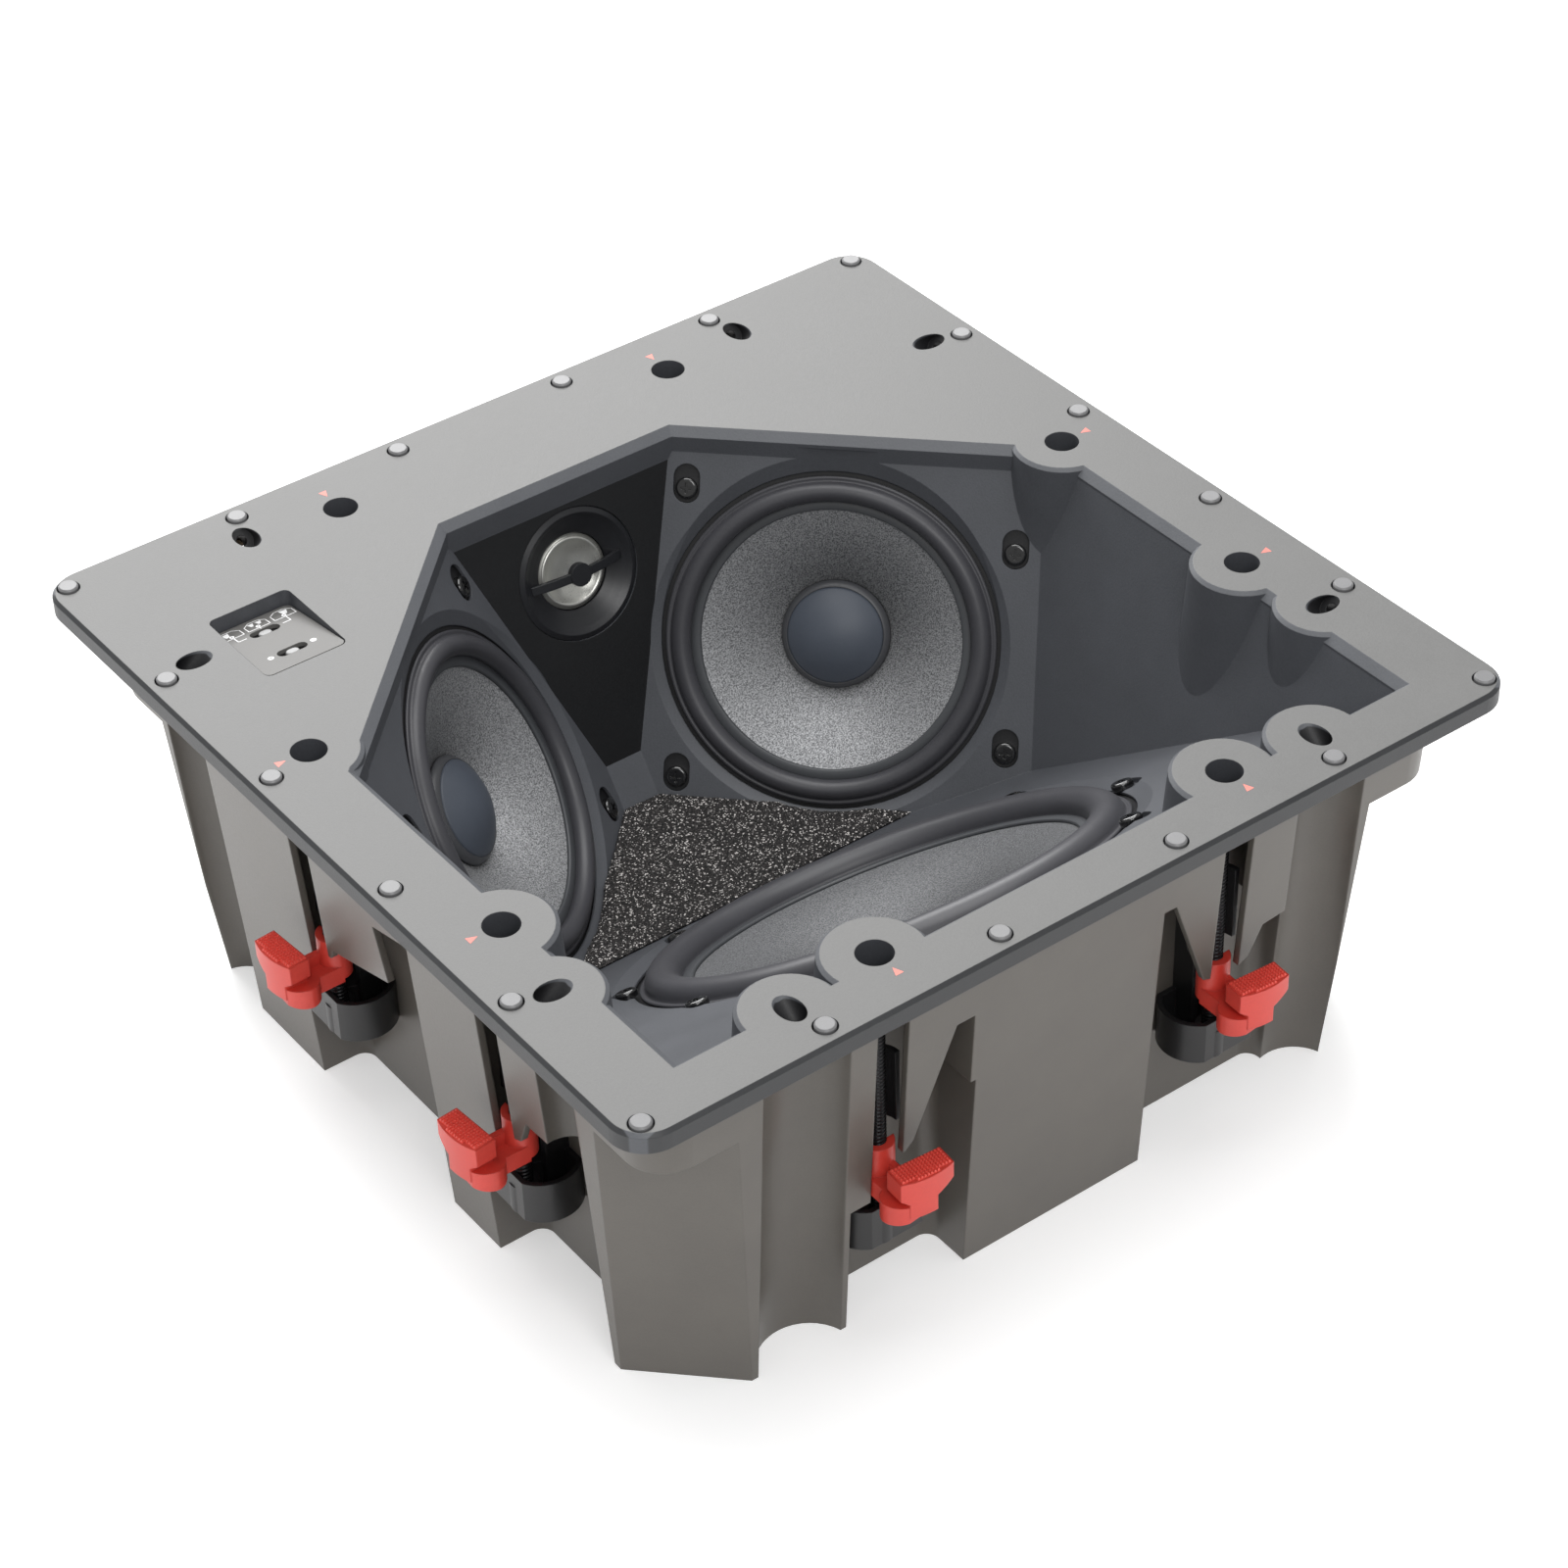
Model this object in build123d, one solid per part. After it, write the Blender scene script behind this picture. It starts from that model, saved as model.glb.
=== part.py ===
from build123d import *
import math
import os

# Ceiling speaker, modelled in its flange frame: origin on the opening's axis at the flange's
# room face, +Z out into the room. save() lifts everything so that the back box stands on z = 0.

# Flange
flange_width = 345.0
flange_thickness = 7.0
flange_corner = 13.0
flange_bevel = 1.2
overall_depth = 149.0
gasket_thickness = 1.6
gasket_inset = 3.0
gasket_band = 9.0
seam_gap = 0.3              # running room between pieces that do not bond

# Grille magnets: pressed pins with a domed face, evenly spaced on a square
magnet_square = 330.0
magnet_spacing = 65.2
magnets_per_half = 3
magnet_diameter = 6.8
magnet_hole = 8.0
magnet_proud = 1.1
magnet_depth = 4.0

# Opening at the flange and the facets that close it behind
opening_back_y = 115.5
opening_back_half = 47.0
opening_shoulder_y = 21.0
opening_half = 141.5
opening_front_y = 149.3
rim_bevel = 3.0
lobe_bevel = 1.2
baffle_wall = 3.0
cavity_floor = 124.0        # below the flange face
facet_slopes = {            # centre on the facet, tilt from the room axis, heading of the normal
    "mid_right": ((68.0, 53.6, -67.0), 63.5, 225.0),
    "mid_left": ((-68.0, 53.6, -67.0), 63.5, 315.0),
    "bass": ((0.0, -63.0, -68.5), 34.4, 90.0),
    "tweeter": ((0.0, 107.9, -36.6), 73.0, 270.0),
    "centre": ((0.0, 95.0, -94.0), 55.0, 270.0),
    "side_right": ((141.8, -60.0, -3.0), 71.0, 180.0),
    "side_left": ((-141.8, -60.0, -3.0), 71.0, 0.0),
}

# Back box
box_half_top = 158.6        # at the flange's underside
box_draft = 3.9
box_corner = 16.0
box_wall = 3.0
corner_lip = 37.0           # depth at which the corner columns start
column_reach_top = 200.0    # centre axis to the 45 degree column faces
column_reach_bottom = 190.0
pocket_back = 131.4         # centre axis to the back wall of the clamp pockets
pocket_corner = 5.0
shelf_depth = 66.0          # where the lower pockets widen
flute_depth = 11.5

# Clamps: a screw under each access hole lifts a swinging dog
access_hole = 12.0
access_depth = 11.5
head_room = 10.4             # bore round the screw's head
clamp_boss = 8.5
lobe_radius = 17.5
lobe_draft = 4.0
lobe_wall = 2.5
slot_width = 12.0
hood_wall = 2.5
hood_drop = 79.0
screw_diameter = 5.2
screw_head = 9.4
screw_head_height = 4.0
screw_head_depth = 12.0
screw_seat_wall = 2.5
screw_end = 110.0
dog_hub = 11.0
dog_height = 13.0
dog_bottom = 92.0
pad_top = 76.0
pad_length = 19.4
pad_depth = 7.7
pad_reach = 21.1            # screw axis to the middle of the line between the pad's outer corners
pad_offset = 2.9            # the pad stands off to one side of the screw
pad_turn = 4.4
pad_crown = 1.8
pad_height = 6.3
foot_bottom = 91.0
foot_left = -4.0
foot_right = 5.6
arm_bottom = 94.2
arm_top = 86.5
arm_bulge = 9.2
nut_width = 8.0
nut_height = 4.0
nut_gap = 0.2
cup_top = 100.0
cup_bottom = 116.0
cup_front = 4.6             # screw axis to the cup's flat front
cup_radius = 13.0
cup_wall = 1.8
cup_far = 14.0
liner_radius = 7.4
liner_wall = 1.6
liner_top = 44.0
liner_bottom = 72.0

# Where things stand on each side, seen from outside with u to the right.
# side: turn of the local frame (front = -Y) about the room axis
sides = {"front": 0.0, "right": 90.0, "rear": 180.0, "left": -90.0}
# clamp: side, u of the screw, screw axis to centre, pocket (left, right above shelf, right below)
clamps = {
    "front_1": ("front", -68.9, 148.6, -82.6, -37.0, -35.0),
    "front_2": ("front", 68.9, 148.6, 39.0, 91.0, 104.0),
    "left_1": ("left", -39.2, 148.5, -56.0, 25.0, 25.0),
    "left_2": ("left", 69.2, 148.0, 52.0, 93.5, 115.0),
    "right_1": ("right", 23.7, 148.2, 6.7, 55.0, 68.0),
    "right_2": ("right", -69.2, 148.0, -86.0, -38.0, -24.0),
    "rear_1": ("rear", -68.9, 147.8, -82.6, -37.0, -35.0),
    "rear_2": ("rear", 68.9, 147.8, 39.0, 91.0, 104.0),
}
# flutes: side, left edge, right edge
flutes = [
    ("front", -117.0, -85.0), ("front", 93.5, 122.0),
    ("left", -122.0, -97.0), ("left", 96.0, 116.5),
    ("right", -117.0, -89.0), ("right", 90.0, 116.0),
    ("rear", -117.0, -85.0), ("rear", 93.5, 122.0),
]
# Slanted screw holes near the corners, two through each side of the flange
toe_hole_along = 103.3
toe_hole_out = 152.6
toe_hole_lean = 48.0
toe_hole_width = 8.6
toe_hole_seat = 5.4         # along the hole's axis
toe_hole_pilot = 3.8
toe_hole_boss = 8.0

# Drivers: mouth, surround, cone and motor sizes
mid_sizes = dict(mouth=60.5, recess=64.0, surround=59.0, cone=45.0, cap=19.7, cone_edge=6.2, cone_depth=23.0,
                 roll=4.6, drawn_out=True, frame=66.0, bowl=34.0, bowl_depth=31.0, magnet=33.0,
                 magnet_depth=20.0,
                 former=14.5, spider=27.0, windows=4, dome=6.5)
bass_sizes = dict(mouth=88.0, recess=94.0, surround=86.0, cone=65.4, cap=26.0, cone_edge=5.0, cone_depth=24.0,
                  roll=7.5, drawn_out=False, frame=92.0, bowl=40.0, bowl_depth=35.0, magnet=35.0,
                  magnet_depth=20.0,
                  former=19.0, spider=34.0, windows=6, dome=6.0)
rubber = 1.2
cone_wall = 0.9
plate = 1.6
mid_screws = [(-53.0, 52.0), (-53.0, -52.0), (64.0, 35.5), (64.0, -35.5)]
bass_screw_circle = 90.0
bass_screw_angles = (23.0, 65.0, 104.0, 143.0)    # each way from the foot of the facet
driver_screw_head = 7.8
driver_screw_height = 2.6
driver_screw_shank = 4.0
driver_screw_length = 3.4
well_width = 9.4
well_length = 14.0

# Tweeter
tweeter_face = 24.0
tweeter_throat = 14.0
tweeter_dome = 12.6
tweeter_depth = 4.2
tweeter_motor = 21.0
tweeter_motor_depth = 19.0
bar_width = 3.2
bar_arch = 5.0
bar_disc = 4.2

# Foam block on the cavity floor
foam_top = 118.5

# Switch panel let into the flange
panel_x = -123.5
panel_y = 99.5
panel_width = 30.0
panel_height = 38.0
panel_fall = 9.0            # degrees: the plate dives below the flange towards +Y
panel_plate = 1.6
panel_corner = 2.5
switch_gap_y = 9.0
switch_slot = 11.0
switch_slot_width = 4.4
switch_knob = 4.8
switch_knob_height = 1.2
switch_travel = 2.9          # each way from the middle

# Crossover and terminals
board_width = 80.0
board_height = 46.0
board_wall = 1.6
board_y = 103.0
terminal_width = 46.0
terminal_height = 30.0
terminal_depth = 14.0
terminal_height_above_floor = 34.0
terminal_poles = 4
terminal_pitch = 10.5

under_flange = -flange_thickness - gasket_thickness
floor_level = -overall_depth
ORIGIN_LIFT = Pos(0, 0, overall_depth)
STANDING = (Align.CENTER, Align.CENTER, Align.MIN)
HANGING = (Align.CENTER, Align.CENTER, Align.MAX)
bodies = {}


def save(name, *solids):
    bodies[name] = [ORIGIN_LIFT * s for s in solids]


def facing(tilt, heading):
    t, h = math.radians(tilt), math.radians(heading)
    return Vector(math.sin(t) * math.cos(h), math.sin(t) * math.sin(h), math.cos(t))


def facet_plane(name, behind=0.0):
    centre, tilt, heading = facet_slopes[name]
    normal = facing(tilt, heading)
    h = math.radians(heading)
    level = Vector(-math.sin(h), math.cos(h), 0)
    return Plane(origin=Vector(*centre) - normal * behind, x_dir=level, z_dir=normal)


def side_frame(side):
    return Rot(0, 0, sides[side])


def turned(points):
    return revolve(Plane.XZ * make_face(Polyline(*points, close=True)), Axis.Z)


def slab(u0, u1, v0, v1, z0, z1):
    return Pos((u0 + u1) / 2, (v0 + v1) / 2, (z0 + z1) / 2) * Box(abs(u1 - u0), abs(v1 - v0), abs(z1 - z0))


def prism(points, z0, z1):
    face = make_face(Polyline(*[(x, y) for x, y in points], close=True))
    return Pos(0, 0, z0) * extrude(face, z1 - z0)


def opening_outline(grow):
    points = [
        (-opening_back_half, opening_back_y), (opening_back_half, opening_back_y),
        (opening_half, opening_shoulder_y), (opening_half, -opening_front_y),
        (-opening_half, -opening_front_y), (-opening_half, opening_shoulder_y),
    ]
    face = make_face(Polyline(*points, close=True))
    return offset(face, grow, kind=Kind.INTERSECTION) if grow else face


# The cavity is the opening's prism cut off by one plane for each facet
def cavity(grow=0.0, top=1.0):
    space = Pos(0, 0, top) * extrude(opening_outline(grow), -(cavity_floor + grow + top))
    for name in facet_slopes:
        behind = facet_plane(name, grow)
        space -= behind * Box(700, 700, 400, align=HANGING)
    return space


def cone_column(x, y, radius, top, bottom):
    reach = radius + (top - bottom) * math.tan(math.radians(lobe_draft))
    return Pos(x, y, bottom) * Cone(reach, radius, top - bottom, align=STANDING)


def clamp_point(name):
    side, u, v = clamps[name][:3]
    return side_frame(side) * Pos(u, -v, 0)


def clamp_axis(name):
    return clamp_point(name).position


def toe_hole_places():
    for turn in sides.values():
        for along in (-toe_hole_along, toe_hole_along):
            yield Rot(0, 0, turn) * Pos(along, -toe_hole_out, 0)


# A countersunk hole that leans outwards, so that its mouth in the flange is oval
def toe_hole_tool():
    seat = Pos(0, 0, -toe_hole_seat) * Cylinder(
        toe_hole_width / 2, toe_hole_seat + 12, align=STANDING)
    pilot = Cylinder(toe_hole_pilot / 2, 5 * toe_hole_seat)
    return Rot(-toe_hole_lean, 0, 0) * (seat + pilot)


def driver_mouth(name, sizes):
    face = facet_plane(name)
    step = baffle_wall + 1.0
    hole = Pos(0, 0, -step) * Cylinder(sizes["mouth"], step + 6, align=STANDING)
    bevel = turned([(0, -2.2), (sizes["mouth"], -2.2), (sizes["recess"], 0), (sizes["recess"], 5), (0, 5)])
    if sizes["drawn_out"]:
        # the mould draws along the room axis, which opens the mouth further up the slope
        disc = face * Pos(0, 0, -baffle_wall) * Circle(sizes["mouth"])
        drawn = extrude(disc, amount=60, dir=(0, 0, 1))
        return face * (hole + bevel) + (drawn & slab(-200, 200, -200, 200, floor_level, -rim_bevel - 1.5))
    return face * (hole + bevel)


def well_places(name):
    if name == "bass":
        for angle in bass_screw_angles:
            a = math.radians(angle)
            for way in (-1, 1):
                yield way * bass_screw_circle * math.sin(a), -bass_screw_circle * math.cos(a)
    else:
        flip = 1 if name == "mid_right" else -1
        for x, y in mid_screws:
            yield flip * x, y


def driver_screw_set(name):
    seat = -baffle_wall + 1.2
    place = facet_plane(name)
    for x, y in well_places(name):
        head = Cylinder(driver_screw_head / 2, driver_screw_height, align=STANDING)
        head = fillet(head.edges().group_by(Axis.Z)[-1], 1.1)
        head -= Pos(0, 0, driver_screw_height) * (Box(4.0, 0.9, 2.2) + Box(0.9, 4.0, 2.2))
        shank = Cylinder(driver_screw_shank / 2, driver_screw_length, align=HANGING)
        yield place * Pos(x, y, seat) * (head + shank)


# Front baffle: flange, facets and the lobes that carry the clamps and slanted screw holes
def build_baffle(inner_space):
    plate_face = RectangleRounded(flange_width, flange_width, flange_corner)
    flange = Pos(0, 0, -flange_thickness) * extrude(plate_face, flange_thickness)
    flange = chamfer(flange.edges().group_by(Axis.Z)[-1], flange_bevel)
    bowl_outside = cavity(baffle_wall, top=-flange_thickness / 2)
    hollow = cavity()
    rim = extrude(opening_outline(rim_bevel), -rim_bevel, taper=45)
    baffle = flange + bowl_outside - hollow - rim
    column_floor = -cavity_floor - 10
    lobe_space = hollow + rim
    lobes = [(clamp_axis(name), lobe_radius) for name in clamps]
    lobes += [(place.position, lobe_radius - 1) for place in toe_hole_places()]
    for spot, radius in lobes:
        lobe = cone_column(spot.X, spot.Y, radius, 0, column_floor)
        baffle += chamfer(lobe.edges().group_by(Axis.Z)[-1], lobe_bevel) & lobe_space
    seat = -screw_head_depth - screw_head_height
    seat_under = seat - screw_seat_wall
    behind_hoods = drafted_block(hood_wall + seam_gap, -flange_thickness / 2, floor_level)
    for name in clamps:
        boss = Pos(0, 0, seat_under) * Cylinder(
            clamp_boss, -seat_under - flange_thickness / 2, align=STANDING)
        baffle += (clamp_point(name) * boss) & behind_hoods
    for place in toe_hole_places():
        pad = Pos(0, 0, -flange_thickness - 3) * Cylinder(
            toe_hole_boss, flange_thickness, align=STANDING)
        baffle += (place * pad) & inner_space
    for name in clamps:
        spot = clamp_axis(name)
        baffle -= cone_column(spot.X, spot.Y, lobe_radius - lobe_wall, seat_under, column_floor)
        well = Pos(0, 0, -access_depth) * Cylinder(
            access_hole / 2, access_depth + 1, align=STANDING)
        well += Pos(0, 0, seat) * Cylinder(head_room / 2, -seat, align=STANDING)
        well += Pos(0, 0, seat) * Cylinder(screw_diameter / 2 + seam_gap, 20)
        baffle -= clamp_point(name) * well
    for place in toe_hole_places():
        baffle -= place * toe_hole_tool()
    for name, sizes in (("mid_left", mid_sizes), ("mid_right", mid_sizes), ("bass", bass_sizes)):
        baffle -= driver_mouth(name, sizes)
        for x, y in well_places(name):
            face = facet_plane(name)
            seat = -baffle_wall + 1.2
            well = extrude(SlotOverall(well_length, well_width), 8)
            baffle -= face * Pos(x, y + (well_length - well_width) / 2 - 0.6, seat) * Rot(0, 0, 90) * well
            baffle -= face * Pos(x, y, -6) * Cylinder(driver_screw_shank / 2 + 0.15, 12)
    face = facet_plane("tweeter")
    baffle -= face * Cylinder(tweeter_face + 0.2, 2 * baffle_wall + 4)
    for x, y in magnet_places():
        baffle -= Pos(x, y, -magnet_depth) * Cylinder(
            magnet_hole / 2, magnet_depth + 1, align=STANDING)
    baffle -= panel_recess()
    return baffle


def magnet_places():
    line = [magnet_spacing * (k + 0.53) for k in range(magnets_per_half - 1)] + [magnet_square / 2]
    places = set()
    for a in line:
        for s in (-1, 1):
            for t in (-1, 1):
                places.add((s * a, t * magnet_square / 2))
                places.add((t * magnet_square / 2, s * a))
    return sorted(places)


def magnet_set():
    for x, y in magnet_places():
        r = magnet_diameter / 2
        pin = turned([(0, 0), (r, 0), (r, magnet_depth + 0.5), (r - 0.5, magnet_depth + magnet_proud),
                      (0, magnet_depth + magnet_proud)])
        yield Pos(x, y, -magnet_depth) * pin


def panel_recess():
    deep = 16.0
    hole = extrude(RectangleRounded(panel_width + 0.6, panel_height + 0.6, panel_corner), -deep)
    return Pos(panel_x, panel_y, 1) * hole


def build_panel():
    place = Pos(panel_x, panel_y - panel_height / 2, 0) * Rot(-panel_fall, 0, 0) * Pos(0, panel_height / 2, 0)
    plate_part = place * Pos(0, 0, -panel_plate) * extrude(
        RectangleRounded(panel_width, panel_height, panel_corner), panel_plate)
    skirt_outer = extrude(RectangleRounded(panel_width, panel_height, panel_corner), -flange_thickness - 9)
    skirt_inner = extrude(RectangleRounded(panel_width - 3, panel_height - 3, 1.2), -flange_thickness - 9)
    skirt = Pos(panel_x, panel_y, 0) * (skirt_outer - skirt_inner)
    above = place * Box(90, 90, 40, align=STANDING)
    holder = (plate_part & (Pos(panel_x, panel_y, 0) * skirt_outer)) + (skirt - above)
    knobs, boxes = [], []
    for s in (-1, 1):
        spot = place * Pos(0, s * switch_gap_y, 0)
        holder -= spot * Pos(0, 0, -4) * extrude(SlotOverall(switch_slot, switch_slot_width), 8)
        knob = extrude(SlotOverall(switch_knob, switch_slot_width - 0.8), switch_knob_height)
        knob = fillet(knob.edges().group_by(Axis.Z)[-1], switch_knob_height / 2)
        stem = Box(2.4, 1.8, 4.0, align=HANGING)
        knobs.append(spot * Pos(0, 0, -panel_plate) * (knob + stem))
        body = Pos(0, 0, -panel_plate - 0.2) * Box(17, 7.6, 7, align=HANGING)
        body -= Pos(0, 0, -panel_plate) * Box(2.4 + 2 * switch_travel + 1.2, 2.6, 10)
        boxes.append(spot * body)
    return holder, knobs, boxes


# Back box: the same features are cut from the outer skin and, grown by the wall, from the inner core
def drafted_block(inset, top, bottom):
    half = box_half_top - inset
    face = RectangleRounded(2 * half, 2 * half, box_corner - inset / 2)
    return Pos(0, 0, top) * Rot(180, 0, 0) * extrude(face, top - bottom, taper=box_draft)


def niche(left, right, outside, back, top, bottom, grow):
    plan = make_face(Polyline((left, outside), (right, outside), (right, back), (left, back), close=True))
    plan = fillet(plan.vertices().group_by(Axis.Y)[-1], pocket_corner + grow)
    return Pos(0, 0, bottom) * extrude(plan, top - bottom)


def pocket_tool(name, grow):
    side, u, v, left, right_high, right_low = clamps[name]
    back = -pocket_back + grow
    outside = -box_half_top - 20
    tool = niche(left - grow, right_high + grow, outside, back, under_flange + 10, -shelf_depth, grow)
    tool += niche(left - grow, right_low + grow, outside, back, -shelf_depth + grow, floor_level - 5, grow)
    return side_frame(side) * tool


def flute_tool(side, left, right, grow):
    half = (right - left) / 2
    radius = (half * half + flute_depth * flute_depth) / (2 * flute_depth)
    shift = radius - flute_depth
    wall_at = box_half_top - (overall_depth / 2) * math.tan(math.radians(box_draft))
    tool = Cylinder(radius + grow, overall_depth * 1.2)
    place = Pos((left + right) / 2, -wall_at - shift, -overall_depth / 2) * Rot(box_draft, 0, 0)
    return side_frame(side) * place * tool


def column_tool(quadrant, grow):
    lean = math.degrees(math.atan2(column_reach_top - column_reach_bottom, overall_depth - corner_lip))
    block = Box(200, 200, 400, align=(Align.CENTER, Align.MIN, Align.CENTER))
    tool = Pos(0, column_reach_bottom - grow, floor_level) * Rot(-lean, 0, 0) * block
    tool &= slab(-200, 200, 0, 400, floor_level - 20, -corner_lip + grow)
    return Rot(0, 0, quadrant) * tool


def box_form(inset, top, bottom):
    form = drafted_block(inset, top, bottom)
    for quadrant in (45, 135, 225, 315):
        form -= column_tool(quadrant, inset)
    for side, left, right in flutes:
        form -= flute_tool(side, left, right, inset)
    for name in clamps:
        form -= pocket_tool(name, inset)
    return form


# Hood plates close the top of each pocket; every hood keeps a slot in front of its screw
def hood_outlines(name):
    u, v, left, right = clamps[name][1:5]
    s = slot_width / 2
    drop, top = -hood_drop, under_flange
    plain_left = [(left - 1, top), (u - s, top), (u - s, -cup_top + 4), (left - 1, -cup_top + 4)]
    if name.endswith("front_2") or name == "rear_2":
        left_plate = [(left - 1, top), (u - s, top), (u - s, drop), (u - s - 3, drop + 1), (left + 5, -37.0),
                      (left - 1, -37.0)]
    else:
        left_plate = plain_left
    if name in ("front_1", "rear_1"):
        right_plate = [(u + s, top), (right + 1, top), (right + 1, -37.0), (right - 7, -37.0),
                       (u + s + 4, drop + 1),
                       (u + s + 1, drop - 2), (u + s, drop - 2)]
    elif name == "left_1":
        right_plate = [(u + s, top), (right + 1, top), (right + 1, -34.0), (4.0, -40.0), (7.5, -62.0),
                       (u + s + 4, drop + 5), (u + s + 1.5, drop), (u + s, drop)]
    else:
        right_plate = [(u + s, top), (right + 1, top), (right + 1, -shelf_depth),
                       (u + s + 9, -shelf_depth - 0.7),
                       (u + s + 4, drop + 1), (u + s, drop - 1)]
    return left_plate, right_plate


def hood_set(name):
    side = clamps[name][0]
    frame = side_frame(side)
    skin = drafted_block(0, under_flange, floor_level)
    skin -= drafted_block(hood_wall, under_flange + 1, floor_level - 1)
    skin &= slab(-140, 140, -200, -120, under_flange, floor_level)
    plates = []
    for outline in hood_outlines(name):
        face = make_face(Polyline(*outline, close=True))
        tool = Pos(0, -100, 0) * extrude(Plane.XZ * face, 120)
        plates.append(frame * (skin & tool))
    return plates


def terminal_place():
    z = floor_level + terminal_height_above_floor
    wall_y = box_half_top - (under_flange - z) * math.tan(math.radians(box_draft))
    return Pos(0, wall_y, z) * Rot(-box_draft, 0, 0)


def build_box():
    outer = box_form(0, under_flange, floor_level)
    inner = box_form(box_wall, under_flange + 1, floor_level + box_wall)
    shell = outer - inner
    for name in clamps:
        for hood in hood_set(name):
            shell += hood
    shell -= cavity(baffle_wall + seam_gap)
    shell -= terminal_place() * Box(terminal_width + 2 * seam_gap, 12, terminal_height + 2 * seam_gap)
    return shell


def build_gasket():
    outer = flange_width - 2 * gasket_inset
    ring = RectangleRounded(outer, outer, flange_corner - gasket_inset) - RectangleRounded(
        outer - 2 * gasket_band, outer - 2 * gasket_band, flange_corner - gasket_inset - 2)
    return Pos(0, 0, under_flange) * extrude(ring, gasket_thickness)


# Clamp pieces in a local frame: screw on the Z axis, the wall's outside towards -Y
def clamp_screw():
    head = Pos(0, 0, -screw_head_depth - screw_head_height) * Cylinder(
        screw_head / 2, screw_head_height, align=STANDING)
    head = fillet(head.edges().group_by(Axis.Z)[-1], 1.2)
    head -= Pos(0, 0, -screw_head_depth) * (Box(5.2, 1.1, 4.4) + Box(1.1, 5.2, 4.4))
    length = screw_end - screw_head_depth - screw_head_height
    shank = Pos(0, 0, -screw_end) * Cylinder(
        screw_diameter / 2, length, align=STANDING)
    return head + chamfer(shank.edges().group_by(Axis.Z)[0], 0.8)


def clamp_nut():
    hexagon = RegularPolygon(nut_width / 2, 6, major_radius=False)
    nut = Pos(0, 0, -dog_bottom + 3) * extrude(hexagon, nut_height)
    return nut - Pos(0, 0, -dog_bottom) * Cylinder(screw_diameter / 2 + nut_gap, 30)


def clamp_dog():
    hub = Pos(0, 0, -dog_bottom) * Cylinder(
        dog_hub / 2, dog_height, align=STANDING)
    # a crescent on top of the hub keeps the dog in its slot
    crest = Pos(0, 0, -dog_bottom + dog_height) * Cylinder(
        dog_hub / 2, 3.5, align=STANDING)
    crest &= slab(-dog_hub, dog_hub, -dog_hub, -1.2, -dog_bottom, -dog_bottom + dog_height + 3.5)
    # the pad: a slab with a crowned outer face, its front cut to the outline of pad and foot
    half, inner = pad_length / 2, pad_reach - pad_depth
    crown = make_face(Wire([
        Line((half, pad_depth), (-half, pad_depth)), Line((-half, pad_depth), (-half, 0)),
        ThreePointArc((-half, 0), (0, -pad_crown), (half, 0)), Line((half, 0), (half, pad_depth))]))
    pad = Rot(0, 0, -pad_turn) * extrude(crown, foot_bottom - pad_top)
    pad = Pos(pad_offset, -pad_reach, -foot_bottom) * pad
    left, right = pad_offset - half - 1, pad_offset + half + 1
    front = make_face(Polyline(
        (left, -pad_top), (right, -pad_top), (right, -pad_top - pad_height + 0.5),
        (foot_right, -pad_top - 9.0),
        (foot_right, -foot_bottom), (foot_left, -foot_bottom), (foot_left, -pad_top - 9.0),
        (left, -pad_top - pad_height), close=True))
    pad &= Pos(0, -5, 0) * extrude(Plane.XZ * front, 30)
    # the arm sweeps from the hub round to the foot, outside the slot's edges until it is past the wall
    hub_side = dog_hub / 2
    sweep = make_face(Wire([
        Line((-hub_side, 0), (-hub_side, -9.4)),
        ThreePointArc((-hub_side, -9.4), (-arm_bulge + 1.0, -11.4), (-arm_bulge, -14.4)),
        ThreePointArc((-arm_bulge, -14.4), (-arm_bulge + 1.5, -18.3), (foot_left, -pad_reach)),
        Line((foot_left, -pad_reach), (foot_right, -pad_reach - 0.6)),
        Line((foot_right, -pad_reach - 0.6), (foot_right, -inner)),
        ThreePointArc((foot_right, -inner), (1.2, -8.4), (hub_side, 0)), Line((hub_side, 0),
        (-hub_side, 0))]))
    arm = Pos(0, 0, -arm_bottom) * extrude(sweep, arm_bottom - arm_top)
    fall = math.degrees(math.atan2(arm_bottom - foot_bottom, foot_right + arm_bulge))
    arm &= Pos(foot_right, 0, -foot_bottom) * Rot(0, -fall, 0) * Box(
        80, 80, 40, align=STANDING)
    rib = slab(0.4, 2.6, -inner - 1, 0, -arm_top - 1, -hood_drop - 3.2)
    dog = hub + crest + arm + pad + rib
    bore = Pos(0, 0, -dog_bottom + dog_height / 2) * Cylinder(screw_diameter / 2 + 0.4, dog_height * 3)
    seat = Pos(0, 0, -dog_bottom + 3 - nut_gap) * Cylinder(
        nut_width / math.sqrt(3) + nut_gap, nut_height + 2 * nut_gap, align=STANDING)
    return dog - bore - seat


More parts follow.
